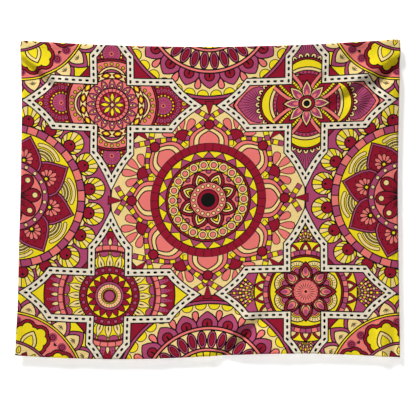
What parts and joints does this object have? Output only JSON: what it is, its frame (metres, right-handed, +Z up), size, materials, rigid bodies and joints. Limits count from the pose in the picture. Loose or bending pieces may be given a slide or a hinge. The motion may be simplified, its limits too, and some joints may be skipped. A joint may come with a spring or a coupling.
{
  "type": "tapestry wall hanging",
  "caption": "Wide printed cloth tapestry with hemmed edges, hung flat on a wall by D-rings strapped behind its top corners and stick-on peg hooks.",
  "frame": {"origin": "on the wall plane, midway between the two pegs that the D-rings hang on", "axes": "+Z up the wall, +X to the viewer's right along the wall, +Y into the wall, so the printed face looks along -Y"},
  "size_m": [1.526, 0.0221, 1.2684],
  "materials": {
    "printed_cloth": "matt brushed polyester, dye-printed in crimson, plum, coral, yellow and cream with near-black outlines",
    "hem_cloth": "the same printed polyester turned to the back",
    "thread": "plum polyester sewing thread",
    "twill_tape": "dark cotton twill tape",
    "ring_wire": "nickel-plated steel wire",
    "hook_plastic": "white moulded ABS",
    "pad_foam": "pale adhesive foam"
  },
  "bodies": {
    "wall_hooks": {"peg_hook_left": "hook_plastic", "peg_hook_right": "hook_plastic", "adhesive_pad_left": "pad_foam", "adhesive_pad_right": "pad_foam"},
    "sheet_upper": {"printed_cloth_upper": "printed_cloth", "top_hem": "hem_cloth", "left_hem_upper": "hem_cloth", "right_hem_upper": "hem_cloth", "top_hem_stitching": "thread", "left_hem_stitching_upper": "thread", "right_hem_stitching_upper": "thread", "d_ring_left": "ring_wire", "d_ring_right": "ring_wire", "ring_tab_left": "twill_tape", "ring_tab_right": "twill_tape", "bar_tack_left": "thread", "bar_tack_right": "thread"},
    "sheet_lower": {"printed_cloth_lower": "printed_cloth", "bottom_hem": "hem_cloth", "left_hem_lower": "hem_cloth", "right_hem_lower": "hem_cloth", "bottom_hem_stitching": "thread", "left_hem_stitching_lower": "thread", "right_hem_stitching_lower": "thread"}
  },
  "joints": [
    {"name": "swing", "type": "hinge", "parent": "wall_hooks", "child": "sheet_upper", "pos_m": [0, -0.01, 0.0035], "axis": [-1, 0, 0], "range_deg": [0, 80]},
    {"name": "fold", "type": "hinge", "parent": "sheet_upper", "child": "sheet_lower", "pos_m": [0, -0.0255, -0.625], "axis": [-1, 0, 0], "range_deg": [0, 160]}
  ]
}
